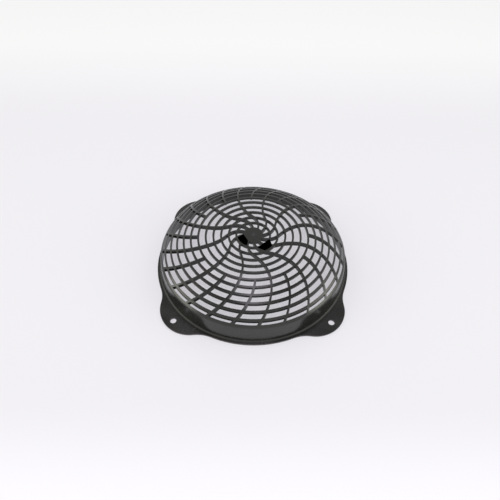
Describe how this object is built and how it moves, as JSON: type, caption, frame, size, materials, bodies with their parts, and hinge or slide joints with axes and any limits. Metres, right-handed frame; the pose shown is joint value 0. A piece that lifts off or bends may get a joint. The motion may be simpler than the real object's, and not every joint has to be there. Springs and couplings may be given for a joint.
{
  "type": "molded fan guard",
  "caption": "Domed plastic fan guard with ring bars, spiral bars, a drafted skirt wall and a flat flange with lobed screw ears.",
  "frame": {"origin": "underside of the mounting flange, on the fan's axis", "axes": "+Z along the fan's axis, out of the dome; the screw holes lie on the diagonals of X and Y"},
  "size_m": [0.2, 0.2, 0.0422],
  "materials": {
    "guard_plastic": "satin black moulded plastic"
  },
  "bodies": {
    "root": {"fan_guard": "guard_plastic"}
  },
  "joints": []
}
